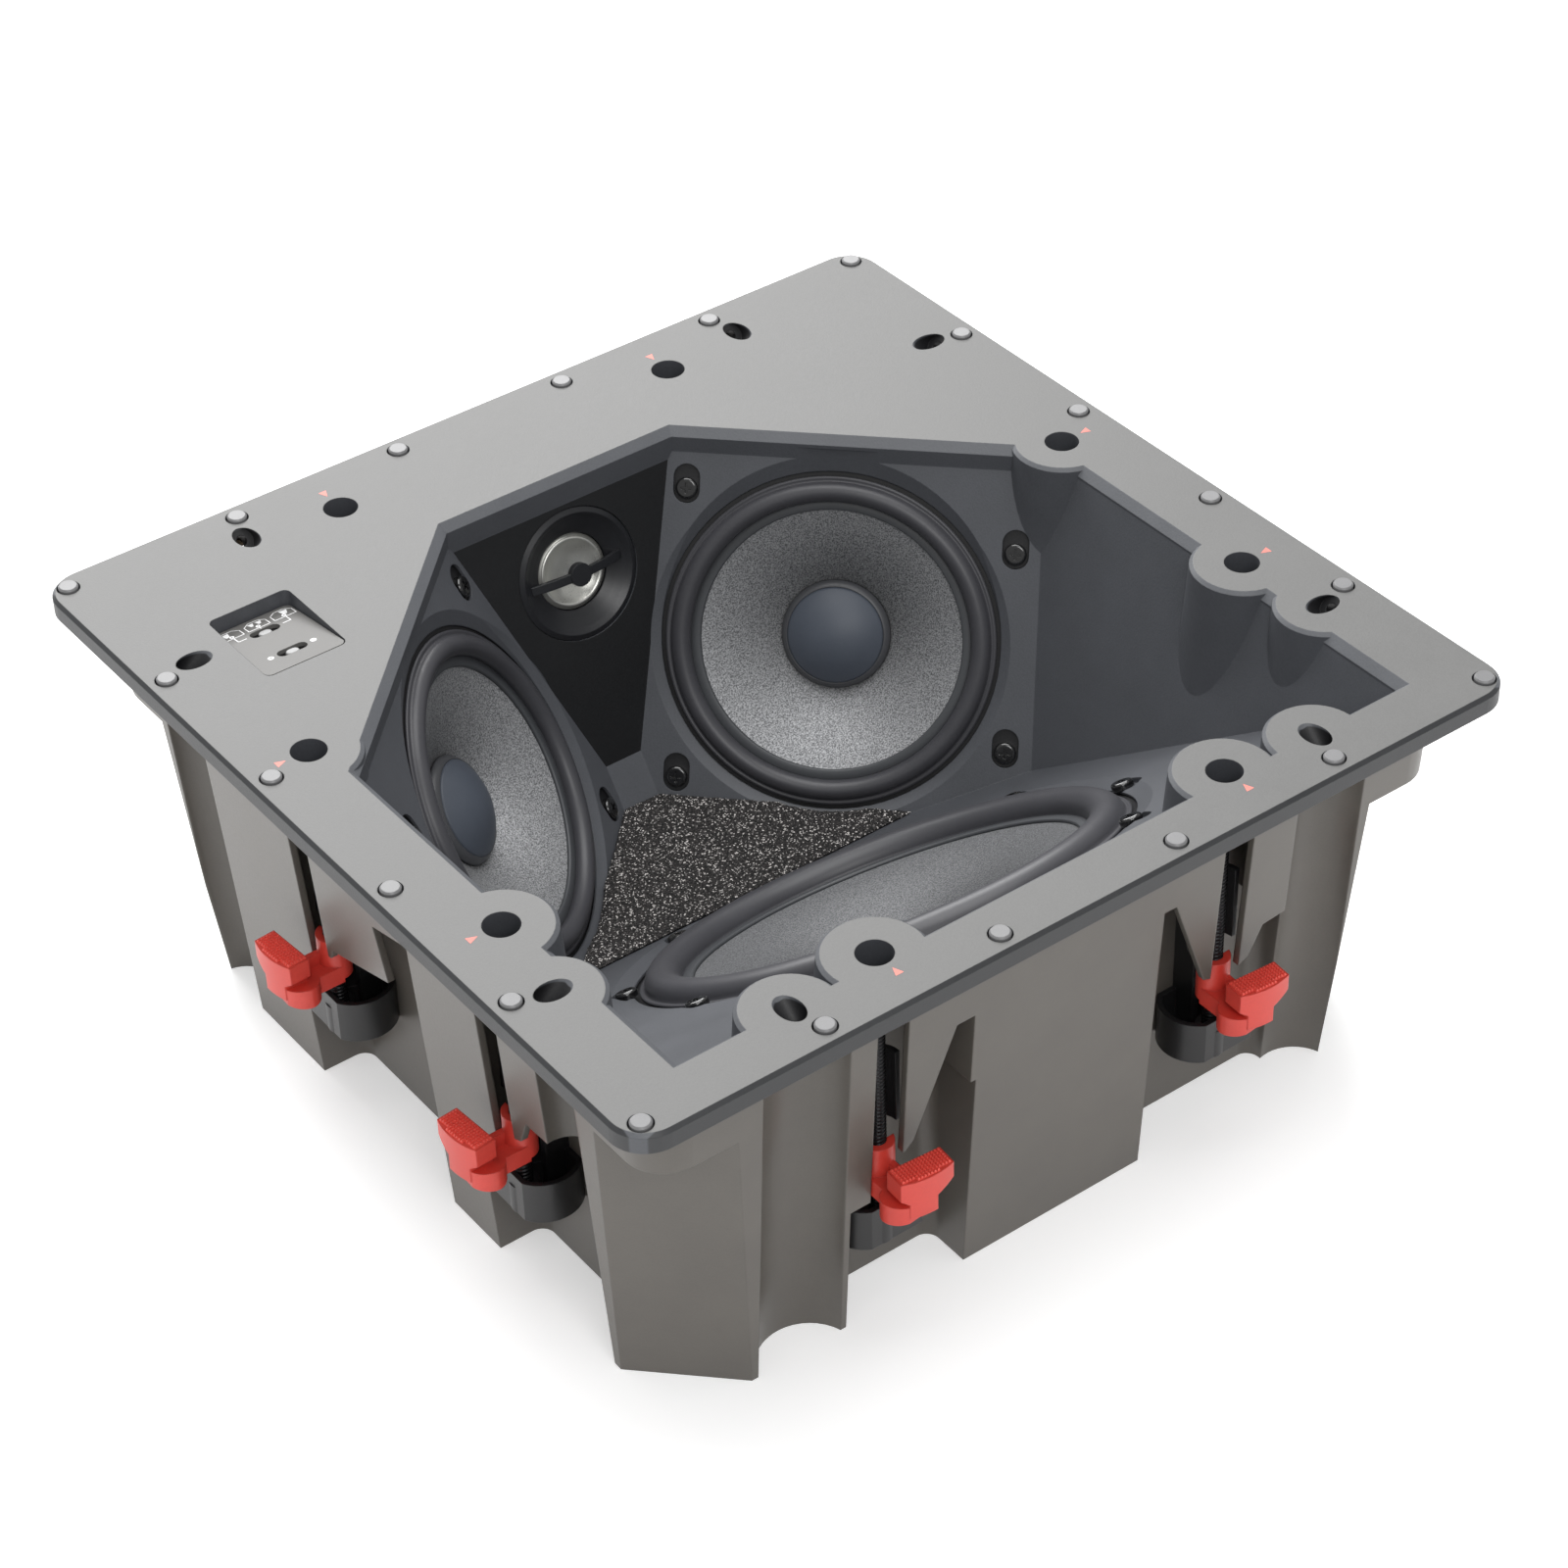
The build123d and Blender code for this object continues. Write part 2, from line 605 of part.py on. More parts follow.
def clamp_tower(reach):
    centre_y = cup_front - cup_radius * math.cos(math.asin(6.0 / cup_radius))
    outer = Cylinder(cup_radius, cup_bottom - cup_top, align=STANDING)
    height = cup_bottom - cup_top
    body = Pos(0, -centre_y, 0) * outer
    body += slab(0, cup_far, -cup_front, 9.0, 0, height)
    body &= slab(-30, cup_far, -cup_front, reach, 0, height)
    core = Pos(0, -centre_y, 0) * Cylinder(
        cup_radius - cup_wall, height, align=STANDING)
    core += slab(0, cup_far - cup_wall, -cup_front, 9.0 - cup_wall, 0, height)
    core &= slab(-30, cup_far - cup_wall, -cup_front + cup_wall, reach - cup_wall, cup_wall, height)
    cup = body - Pos(0, 0, cup_wall) * core
    post = Cylinder(screw_diameter / 2 + 2.4, height - 5, align=STANDING)
    post -= Pos(0, 0, 2) * Cylinder(screw_diameter / 2 + seam_gap, 40, align=STANDING)
    cup = Pos(0, 0, -cup_bottom) * (cup + post)
    tube = Cylinder(liner_radius + liner_wall, liner_bottom - liner_top, align=STANDING)
    tube -= Pos(0, 0, -1) * Cylinder(liner_radius, 200, align=STANDING)
    tube &= slab(-20, 20, 0, 20, 0, 200)
    liner = Pos(0, 0, -liner_bottom) * tube
    rib = slab(-1.4, 1.4, liner_radius + 0.4, reach, -cup_bottom, -liner_top)
    return cup + liner + rib


# Drivers, in a facet frame: origin at the facet's surface on the driver's axis, +Z out of the facet
def driver(sizes):
    s = sizes
    seat = -baffle_wall - seam_gap           # the frame's front face lies behind the facet
    frame_back = seat - plate
    bowl_back = -s["bowl_depth"]
    frame = turned([
        (s["surround"] - 3, seat), (s["frame"], seat), (s["frame"], frame_back),
        (s["surround"] + 1.5, frame_back),
        (s["bowl"] + 1.8, bowl_back), (s["bowl"] + 1.8, bowl_back - plate),
        (s["former"] + 4.5, bowl_back - plate),
        (s["former"] + 4.5, bowl_back), (s["bowl"], bowl_back), (s["surround"] - 0.5, frame_back - 0.5)])
    window_width = 0.62 * 2 * math.pi * (s["surround"] + s["bowl"]) / 2 / s["windows"]
    for k in range(s["windows"]):
        cutter = Pos(s["bowl"] + 2, 0, 0) * Box(60, window_width, abs(bowl_back) - 12, align=(
            Align.MIN, Align.CENTER, Align.CENTER))
        turn = Rot(0, 0, 360.0 / s["windows"] * (k + 0.5))
        frame -= turn * Pos(0, 0, (bowl_back + frame_back) / 2) * cutter
    rim_in, rim_out = s["cone"] + 1.5, s["surround"] - 2.0
    mid = (rim_in + rim_out) / 2
    edge = -s["cone_edge"]
    lip = seat + rubber + 0.02
    upper = [Line((s["cone"] - 2.5, edge + 0.3), (rim_in, edge + 0.3)),
             ThreePointArc((rim_in, edge + 0.3), (mid, seat + s["roll"]), (rim_out, lip)),
             Line((rim_out, lip), (s["surround"], lip)), Line((s["surround"], lip),
             (s["surround"], lip - rubber)),
             Line((s["surround"], lip - rubber), (rim_out - rubber * 0.6, lip - rubber)),
             ThreePointArc((rim_out - rubber * 0.6, lip - rubber), (mid, seat + s["roll"] - rubber),
                           (rim_in + rubber * 0.6, edge + 0.3 - rubber)),
             Line((rim_in + rubber * 0.6, edge + 0.3 - rubber), (s["cone"] - 2.5, edge + 0.3 - rubber)),
             Line((s["cone"] - 2.5, edge + 0.3 - rubber), (s["cone"] - 2.5, edge + 0.3))]
    surround = revolve(Plane.XZ * make_face(Wire(upper)), Axis.Z)
    cone_top = edge + 0.3 - rubber - 0.02
    neck = -s["cone_depth"] - 2.0
    cone = turned([
        (s["cone"] + 1.0, cone_top), (s["cone"] + 1.0, cone_top - cone_wall),
        (s["cone"] - 1.5, cone_top - cone_wall),
        (s["former"] + 0.9, neck - cone_wall), (s["former"] + 0.9, neck - 14), (s["former"], neck - 14),
        (s["former"], neck), (s["cone"] - 2.5, cone_top)])
    cap_seat = -s["cone_depth"] + 1.4
    cap_radius = (s["cap"] ** 2 + s["dome"] ** 2) / (2 * s["dome"])
    cap_centre = cap_seat + s["dome"] - cap_radius
    cap = Pos(0, 0, cap_centre) * (Sphere(cap_radius) - Sphere(cap_radius - cone_wall))
    cap &= Pos(0, 0, cap_seat) * Cylinder(s["cap"], 2 * s["dome"], align=STANDING)
    motor_top = bowl_back - plate
    motor_back = motor_top - s["magnet_depth"]
    gap_in, gap_out = s["former"] - 1.0, s["former"] + 2.4
    motor = turned([
        (gap_out, motor_top), (s["magnet"] - 4, motor_top), (s["magnet"] - 4, motor_top - 4),
        (s["magnet"], motor_top - 4), (s["magnet"], motor_back + 4), (s["magnet"] - 3, motor_back + 4),
        (s["magnet"] - 3, motor_back), (4, motor_back), (4, motor_top + 0.5), (gap_in, motor_top + 0.5),
        (gap_in, motor_back + 5), (gap_out + 3, motor_back + 5), (gap_out + 3, motor_top - 4),
        (gap_out, motor_top - 4)])
    web = bowl_back + 1.6
    spider = turned([
        (s["former"] + 1.0, web + 3), (s["former"] + 4, web + 3), (s["former"] + 6, web + 4.2),
        (s["former"] + 8.5, web + 2.2), (s["spider"], web + 0.4), (s["spider"] + 3, web - 1.5),
        (s["spider"] + 3, web - 0.9 - 0.65),
        (s["spider"] - 0.5, web - 0.65 + 0.4), (s["former"] + 8.2, web + 1.4), (s["former"] + 6, web + 3.4),
        (s["former"] + 4.2, web + 2.3), (s["former"] + 1.0, web + 2.3)])
    return dict(basket=frame, surround=surround, cone=cone, dust_cap=cap, motor=motor, spider=spider)


def tweeter():
    face = -0.4
    horn = turned([
        (tweeter_throat, -tweeter_depth - 2), (tweeter_throat, -tweeter_depth),
        (tweeter_throat + 3, -tweeter_depth + 1.6), (tweeter_face - 4, face - 0.5),
        (tweeter_face - 2, face + 0.8), (tweeter_face, face), (tweeter_face, face - 5.5),
        (tweeter_face - 2, -tweeter_depth - 3.4), (tweeter_throat, -tweeter_depth - 3.4)])
    r = tweeter_dome
    base = -tweeter_depth - 0.8
    rim = tweeter_throat - seam_gap
    dome = turned([
        (0, base - 3.4), (r * 0.45, base - 2.9), (r * 0.8, base - 1.3), (r - 1.6, base + 0.6),
        (r - 0.6, base + 0.8),
        (r, base), (rim, base), (rim, base - 0.4), (r - 0.2, base - 0.4), (r - 0.7, base + 0.3),
        (r - 1.5, base + 0.1),
        (r * 0.8, base - 1.8), (r * 0.45, base - 3.4), (0, base - 3.9)])
    reach = tweeter_throat + 6
    bar_face = make_face(Wire([
        ThreePointArc((-reach, -1.9), (0, bar_arch - 3.2), (reach, -1.9)), Line((reach, -1.9),
        (reach - 1.5, -3.2)),
        ThreePointArc((reach - 1.5, -3.2), (0, bar_arch - 4.8), (-reach + 1.5, -3.2)),
        Line((-reach + 1.5, -3.2), (-reach, -1.9))]))
    bar = Pos(0, bar_width / 2, 0) * extrude(Plane.XZ * bar_face, bar_width)
    hub = Pos(0, 0, bar_arch - 5.4) * Cylinder(bar_disc, 2.4, align=STANDING)
    phase = bar + hub - horn
    top = -tweeter_depth - 3.6
    back = top - tweeter_motor_depth
    motor = turned([
        (tweeter_dome - 0.9, top), (tweeter_motor, top), (tweeter_motor, back), (0, back), (0, top - 3.2),
        (tweeter_dome - 3.0, top - 3.2), (tweeter_dome - 3.0, top - 8), (tweeter_dome - 0.9, top - 8)])
    return horn, dome, phase, motor


def build_foam():
    pad = cavity(-seam_gap) & slab(-200, 200, -200, 200, -cavity_floor + seam_gap, -foam_top)
    for name in ("mid_left", "mid_right", "bass"):
        sizes = bass_sizes if name == "bass" else mid_sizes
        pad -= facet_plane(name) * Cylinder(sizes["mouth"], 8)
        for x, y in well_places(name):
            pad -= facet_plane(name) * Pos(x, y, 0) * Cylinder(well_width / 2 + seam_gap, 8)
    biggest = max(pad.solids(), key=lambda s: s.volume)
    return biggest


def build_board():
    base = floor_level + box_wall
    spot = Pos(0, board_y, base + 5)
    board = Box(board_width, board_height, board_wall)
    posts = [Pos(x, y, -2.9) * Cylinder(2.5, 4.2) for x in (-35, 35) for y in (-18, 18)]
    coil = Pos(-22, 4, 7) * (Cylinder(13, 12) - Cylinder(6, 14))
    cap_can = Pos(12, 10, 5.8) * Rot(0, 90, 0) * Cylinder(5, 26)
    cap_small = Pos(14, -6, 4.8) * Rot(0, 90, 0) * Cylinder(4, 20)
    resistor = Pos(14, -17, 3.8) * Box(24, 6, 6)
    board = board + posts[0] + posts[1] + posts[2] + posts[3]
    return [spot * s for s in (board, coil, cap_can, cap_small, resistor)]


def build_terminal():
    body = Pos(0, -terminal_depth / 2 - 0.6, 0) * Box(terminal_width, terminal_depth, terminal_height)
    rim = Pos(0, -box_wall - seam_gap - 1, 0) * Box(terminal_width + 6, 2, terminal_height + 6)
    block = body + rim
    for k in range(terminal_poles):
        x = terminal_pitch * (k - (terminal_poles - 1) / 2)
        block -= Pos(x, 0, -6) * Box(6, 12, 8)
        block -= Pos(x, 0, 7) * Rot(90, 0, 0) * Cylinder(2.6, 9)
    return terminal_place() * block


def main():
    os.makedirs("parts", exist_ok=True)
    inner_space = box_form(box_wall + seam_gap, -flange_thickness / 2, floor_level + box_wall)
    baffle = build_baffle(inner_space)
    box = build_box()
    save("front_baffle", baffle)
    save("back_box", box)
    save("gasket", build_gasket())
    save("grille_magnets", *magnet_set())
    towers = []
    for name in clamps:
        place = clamp_point(name)
        tower, dog = clamp_tower(clamps[name][2] - pocket_back), clamp_dog()
        if clamps[name][0] in ("left", "right"):
            tower, dog = mirror(tower, about=Plane.YZ), mirror(dog, about=Plane.YZ)
        towers.append((place * tower) & pocket_tool(name, 0))
        save("clamp_screw_" + name, place * clamp_screw())
        save("clamp_nut_" + name, place * clamp_nut())
        save("clamp_dog_" + name, place * dog)
    save("clamp_towers", *towers)
    screws = []
    for name, sizes in (("mid_left", mid_sizes), ("mid_right", mid_sizes), ("bass", bass_sizes)):
        place = facet_plane(name)
        pieces = driver(sizes)
        lugs = []
        for x, y in well_places(name):
            lug = Pos(x, y, -baffle_wall - seam_gap - plate) * Cylinder(
                6.2, plate, align=STANDING)
            angle = math.degrees(math.atan2(y, x))
            root = Rot(0, 0, angle) * slab(sizes["surround"], math.hypot(x, y), -6.2, 6.2,
                                           -baffle_wall - seam_gap - plate, -baffle_wall - seam_gap)
            pieces["basket"] += lug + root
            pieces["basket"] -= Pos(x, y, 0) * Cylinder(driver_screw_shank / 2 + 0.15, 40)
        pieces["basket"] = (place * pieces["basket"]) & inner_space
        for key, piece in pieces.items():
            save(name + "_" + key, piece if key == "basket" else place * piece)
        screws += [screw & inner_space for screw in driver_screw_set(name)]
    save("driver_screws", *screws)
    place = facet_plane("tweeter")
    horn, dome, phase, motor = tweeter()
    save("tweeter_horn", place * horn)
    save("tweeter_dome", place * dome)
    save("tweeter_phase_bar", place * phase)
    save("tweeter_motor", place * motor)
    save("foam_wedge", build_foam())
    holder, knobs, boxes = build_panel()
    save("switch_plate", holder)
    save("switch_knob_wall", knobs[0])
    save("switch_knob_tweeter", knobs[1])
    save("switch_housings", *boxes)
    save("crossover_board", *build_board())
    save("terminal_block", build_terminal())
    for name, solids in bodies.items():
        shape = solids[0] if len(solids) == 1 else Compound(children=solids)
        export_step(shape, "parts/" + name + ".step")


main()
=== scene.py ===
import bmesh
import bpy
import math
from mathutils import Euler, Matrix, Vector


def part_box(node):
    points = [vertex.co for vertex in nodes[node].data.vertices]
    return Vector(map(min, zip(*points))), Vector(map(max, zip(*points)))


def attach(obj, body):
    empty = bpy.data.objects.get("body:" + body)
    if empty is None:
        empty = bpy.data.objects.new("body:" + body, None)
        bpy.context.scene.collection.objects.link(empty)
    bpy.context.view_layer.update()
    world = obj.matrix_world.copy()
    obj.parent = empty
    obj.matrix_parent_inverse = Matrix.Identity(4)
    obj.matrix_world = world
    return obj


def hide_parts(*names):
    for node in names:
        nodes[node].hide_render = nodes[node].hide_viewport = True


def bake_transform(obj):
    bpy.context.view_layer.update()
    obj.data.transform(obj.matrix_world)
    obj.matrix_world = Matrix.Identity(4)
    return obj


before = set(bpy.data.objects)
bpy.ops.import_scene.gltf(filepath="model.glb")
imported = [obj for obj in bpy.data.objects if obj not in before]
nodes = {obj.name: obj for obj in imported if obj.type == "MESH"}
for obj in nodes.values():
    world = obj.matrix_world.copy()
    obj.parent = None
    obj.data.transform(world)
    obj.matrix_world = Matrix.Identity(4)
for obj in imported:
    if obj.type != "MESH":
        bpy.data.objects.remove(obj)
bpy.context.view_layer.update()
mm = 0.001
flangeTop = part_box("front_baffle")[1].z     # the flange's room face
print("frame loaded:", len(nodes), "nodes")


class Sock:     # a node's output: operators on it add Math nodes
    def __init__(self, finish, out):
        self.finish, self.out = finish, out

    def sum(self, operation, *others):
        values = [self, *others]
        return self.finish.node("Math", {"operation": operation}, dict(enumerate(values)))

    def __add__(self, other):
        return self.sum("ADD", other)

    __radd__ = __add__

    def __sub__(self, other):
        return self.sum("SUBTRACT", other)

    def __rsub__(self, other):
        return (self * -1.0) + other

    def __mul__(self, other):
        return self.sum("MULTIPLY", other)

    __rmul__ = __mul__

    def step(self, low, high):     # 0 below low, 1 above high
        return self.finish.node("MapRange", {"clamp": True}, {"Value": self, "From Min": low, "From Max": high})

    def least(self, other):
        return self.sum("MINIMUM", other)

    def most(self, other):
        return self.sum("MAXIMUM", other)

    def size(self):
        return self.sum("ABSOLUTE")


class Finish:     # one material and its nodes
    def __init__(self, name, **shader):
        self.material = bpy.data.materials.new(name)
        self.material.use_nodes = True
        self.tree = self.material.node_tree
        self.shader = self.tree.nodes["Principled BSDF"]
        self.feed(**shader)

    def node(self, kind, settings=None, inputs=None, out=0):
        made = self.tree.nodes.new("ShaderNode" + kind)
        for key, value in (settings or {}).items():
            setattr(made, key, value)
        for key, value in (inputs or {}).items():
            self.put(made.inputs[key], value)
        return Sock(self, made.outputs[out])

    def put(self, socket, value):
        if isinstance(value, Sock):
            self.tree.links.new(value.out, socket)
        else:
            socket.default_value = value

    def feed(self, **values):
        for key, value in values.items():
            if isinstance(value, tuple) and len(value) == 3:
                value = (*value, 1)
            self.put(self.shader.inputs[key.replace("_", " ")], value)

    def place(self):
        return self.node("TexCoord", out="Object")

    def along(self, axis):     # the place's X, Y or Z
        return self.node("SeparateXYZ", inputs={0: self.place()}, out=axis)

    def noise(self, scale, detail, roughness):
        return self.node("TexNoise", inputs={"Vector": self.place(), "Scale": scale, "Detail": detail,
                                             "Roughness": roughness})

    def cells(self, scale, out=0):
        return self.node("TexVoronoi", inputs={"Vector": self.place(), "Scale": scale}, out=out)

    def mix(self, amount, low, high):
        low, high = [(*c, 1) if isinstance(c, tuple) and len(c) == 3 else c for c in (low, high)]
        return self.node("Mix", {"data_type": "RGBA"}, {0: amount, 6: low, 7: high}, out=2)

    def vector(self, operation, first, second=(0, 0, 0), out="Value"):
        return self.node("VectorMath", {"operation": operation}, {0: first, 1: second}, out=out)

    def facing(self, direction):     # cosine between the surface and a direction
        return self.vector("DOT_PRODUCT", self.node("TexCoord", out="Normal"), direction)

    def relief(self, height, distance, rounding=0.0):     # bumps, and sharp edges shaded as if rounded
        inputs = {"Height": height, "Distance": distance, "Strength": 1.0}
        if rounding:
            inputs["Normal"] = self.node("Bevel", {"samples": 4}, {"Radius": rounding})
        self.feed(Normal=self.node("Bump", inputs=inputs))


def tone(red, green, blue):     # screen colour, 0 to 255, as linear light
    return tuple(((c / 255 + 0.055) / 1.055) ** 2.4 if c > 10 else c / 3294.6 for c in (red, green, blue))


# noises are (scale, detail, roughness); a finish of this kind gives its own fine scale
mouldLook = dict(broad=(38, 4, 0.6), fine=(2, 0.6), broadShare=0.65, spread=(0.3, 0.7), fineRough=0.16,
                 broadRough=0.08)


# a grained surface: fine grain over broad unevenness, in both tone and roughness
def mouldedPlastic(name, low, high, rough=0.5, grain=1500, depth=0.00004, rounding=0.0004, **more):
    look, finish = mouldLook, Finish(name, **more)
    broad, fine = finish.noise(*look["broad"]), finish.noise(grain, *look["fine"])
    shade = (broad * look["broadShare"] + fine * (1 - look["broadShare"])).step(*look["spread"])
    unevenRough = fine * look["fineRough"] + broad * look["broadRough"]
    middle = (look["fineRough"] + look["broadRough"]) / 2
    finish.feed(Base_Color=finish.mix(shade, low, high), Roughness=unevenRough + (rough - middle))
    finish.relief(fine, depth, rounding)
    return finish


facets = {     # as in the solids: centre on the facet in mm, tilt, heading of the normal
    "mid_right": ((68.0, 53.6, -67.0), 63.5, 225.0), "mid_left": ((-68.0, 53.6, -67.0), 63.5, 315.0),
    "bass": ((0.0, -63.0, -68.5), 34.4, 90.0), "tweeter": ((0.0, 107.9, -36.6), 73.0, 270.0),
}


def facetNormal(name):
    tilt, heading = (math.radians(a) for a in facets[name][1:])
    return Vector((math.sin(tilt) * math.cos(heading), math.sin(tilt) * math.sin(heading), math.cos(tilt)))


def facetCentre(name):
    return Vector(facets[name][0]) * mm + Vector((0, 0, flangeTop))


baffleLook = dict(     # lengths in metres; a pair says where a mask starts and where it is full
    flangeLow=tone(93, 93, 92), flangeHigh=tone(103, 103, 102),
    sideLow=tone(72, 74, 78), sideHigh=tone(81, 83, 88),
    darkLow=tone(15, 16, 18), darkHigh=tone(21, 22, 24),
    # darkLow and darkHigh: painted shade, the tweeter facet of the same moulding painted near black
    bevelLow=tone(84, 86, 90), bevelHigh=tone(93, 95, 99),
    # edgeLow and edgeHigh: painted shade on the flange's outer sides, from rim outwards
    edgeLow=tone(42, 43, 45), edgeHigh=tone(49, 50, 52), shadow=tone(24, 24, 26),
    rough=0.5, fineRough=0.16, broadRough=0.1, fine=(1500, 2, 0.6), broad=(30, 4, 0.6), spread=(0.32, 0.68),
    depth=0.00005, rounding=0.00045, onFacet=(0.985, 0.995),
    faceUp=(0.93, 0.96), faceHeight=(-0.0005, -0.0002),
    bevelUp=(0.5, 0.6), bevelEnd=(0.9, 0.93), bevelHeight=(-0.0034, -0.0032), rim=(0.1702, 0.1706),
    holeAway=0.1526, holeAlong=0.1033, holeHalf=(0.0046, 0.0048), holeInward=(-0.0054, -0.0052),
    holeHeight=(-0.0009, -0.0005),
    wellNear=(0.0665, 0.0667), wellFar=(0.086, 0.087), wellMouth=(-0.0011, -0.0008), wellFoot=(-0.014, -0.013))


def wellShadow(finish, name):     # the ring round a side driver where its screws' wells are
    look, normal = baffleLook, tuple(facetNormal(name))
    away = finish.vector("SUBTRACT", finish.place(), tuple(facetCentre(name)), out=0)
    radius = finish.vector("LENGTH", finish.vector("CROSS_PRODUCT", away, normal, out=0))
    depth = finish.vector("DOT_PRODUCT", away, normal)
    ring = radius.step(*look["wellNear"]) * (1 - radius.step(*look["wellFar"]))
    return ring * (1 - depth.step(*look["wellMouth"])) * depth.step(*look["wellFoot"])


def baffleFinish():
    look, finish = baffleLook, Finish("texturedBaffle", Specular_IOR_Level=0.5)
    broad, fine = finish.noise(*look["broad"]), finish.noise(*look["fine"])
    shade = (broad * 0.5 + fine * 0.5).step(*look["spread"])
    up, height = finish.facing((0, 0, 1)), finish.along("Z") - flangeTop
    fromX, fromY = finish.along("X").size(), finish.along("Y").size()
    outward, sideways = fromX.most(fromY), fromX.least(fromY)

    def grained(part):
        return finish.mix(shade, look[part + "Low"], look[part + "High"])

    onTweeter = finish.facing(tuple(facetNormal("tweeter"))).step(*look["onFacet"])
    bevel = up.step(*look["bevelUp"]) * (1 - up.step(*look["bevelEnd"])) * height.step(*look["bevelHeight"])
    inHole = ((1 - (sideways - look["holeAlong"]).size().step(*look["holeHalf"]))
              * (outward - look["holeAway"]).step(*look["holeInward"]) * (1 - height.step(*look["holeHeight"])))
    shadow = inHole.most(wellShadow(finish, "mid_left")).most(wellShadow(finish, "mid_right"))
    # painted shade: the tweeter facet takes the near-black tone instead of the cavity's own grey
    colour = finish.mix(onTweeter, grained("side"), grained("dark"))
    colour = finish.mix(bevel, colour, grained("bevel"))
    colour = finish.mix(shadow, colour, look["shadow"])
    # painted shade: the flange's outer sides darkened beyond rim
    colour = finish.mix(outward.step(*look["rim"]), colour, grained("edge"))
    roomFace = up.step(*look["faceUp"]) * height.step(*look["faceHeight"])
    middle = (look["fineRough"] + look["broadRough"]) / 2
    finish.feed(Base_Color=finish.mix(roomFace, colour, grained("flange")),
                Roughness=(fine * look["fineRough"] + broad * look["broadRough"]) + (look["rough"] - middle))
    finish.relief(fine, look["depth"], look["rounding"])
    return finish


# spark, sparks and sparkSpread: painted glints, white specks standing in for light caught on the foam
foamLook = dict(low=tone(70, 66, 65), high=tone(8, 8, 8), spark=tone(222, 217, 214), rough=0.85,
                pores=1500, poreSpread=(0.1, 0.62), sparks=2100, sparkSpread=(0.86, 0.99), depth=0.0006,
                voxel=1.1, lump=0.9, lumpMiddle=0.62, lumpScale=0.0022)


def foamFinish():
    look, finish = foamLook, Finish("openFoam", Roughness=foamLook["rough"])
    pores = finish.cells(look["pores"])
    spark = finish.node("SeparateColor", inputs={0: finish.cells(look["sparks"], out="Color")}, out=0)
    shade = finish.mix(pores.step(*look["poreSpread"]), look["low"], look["high"])
    # painted glints: white specks mixed over the foam's colour
    finish.feed(Base_Color=finish.mix(spark.step(*look["sparkSpread"]), shade, look["spark"]))
    finish.relief(pores, look["depth"])
    return finish


coneLook = dict(metal=0.3, grain=(1900, 2, 0.7), spread=(0.36, 0.64), rough=0.56, smoother=0.12, depth=0.00005)


def speckledCone(name, low, high):
    look, finish = coneLook, Finish(name, Metallic=coneLook["metal"])
    grain = finish.noise(*look["grain"]).step(*look["spread"])
    finish.feed(Base_Color=finish.mix(grain, low, high), Roughness=look["rough"] - grain * look["smoother"])
    finish.relief(grain, look["depth"])
    return finish


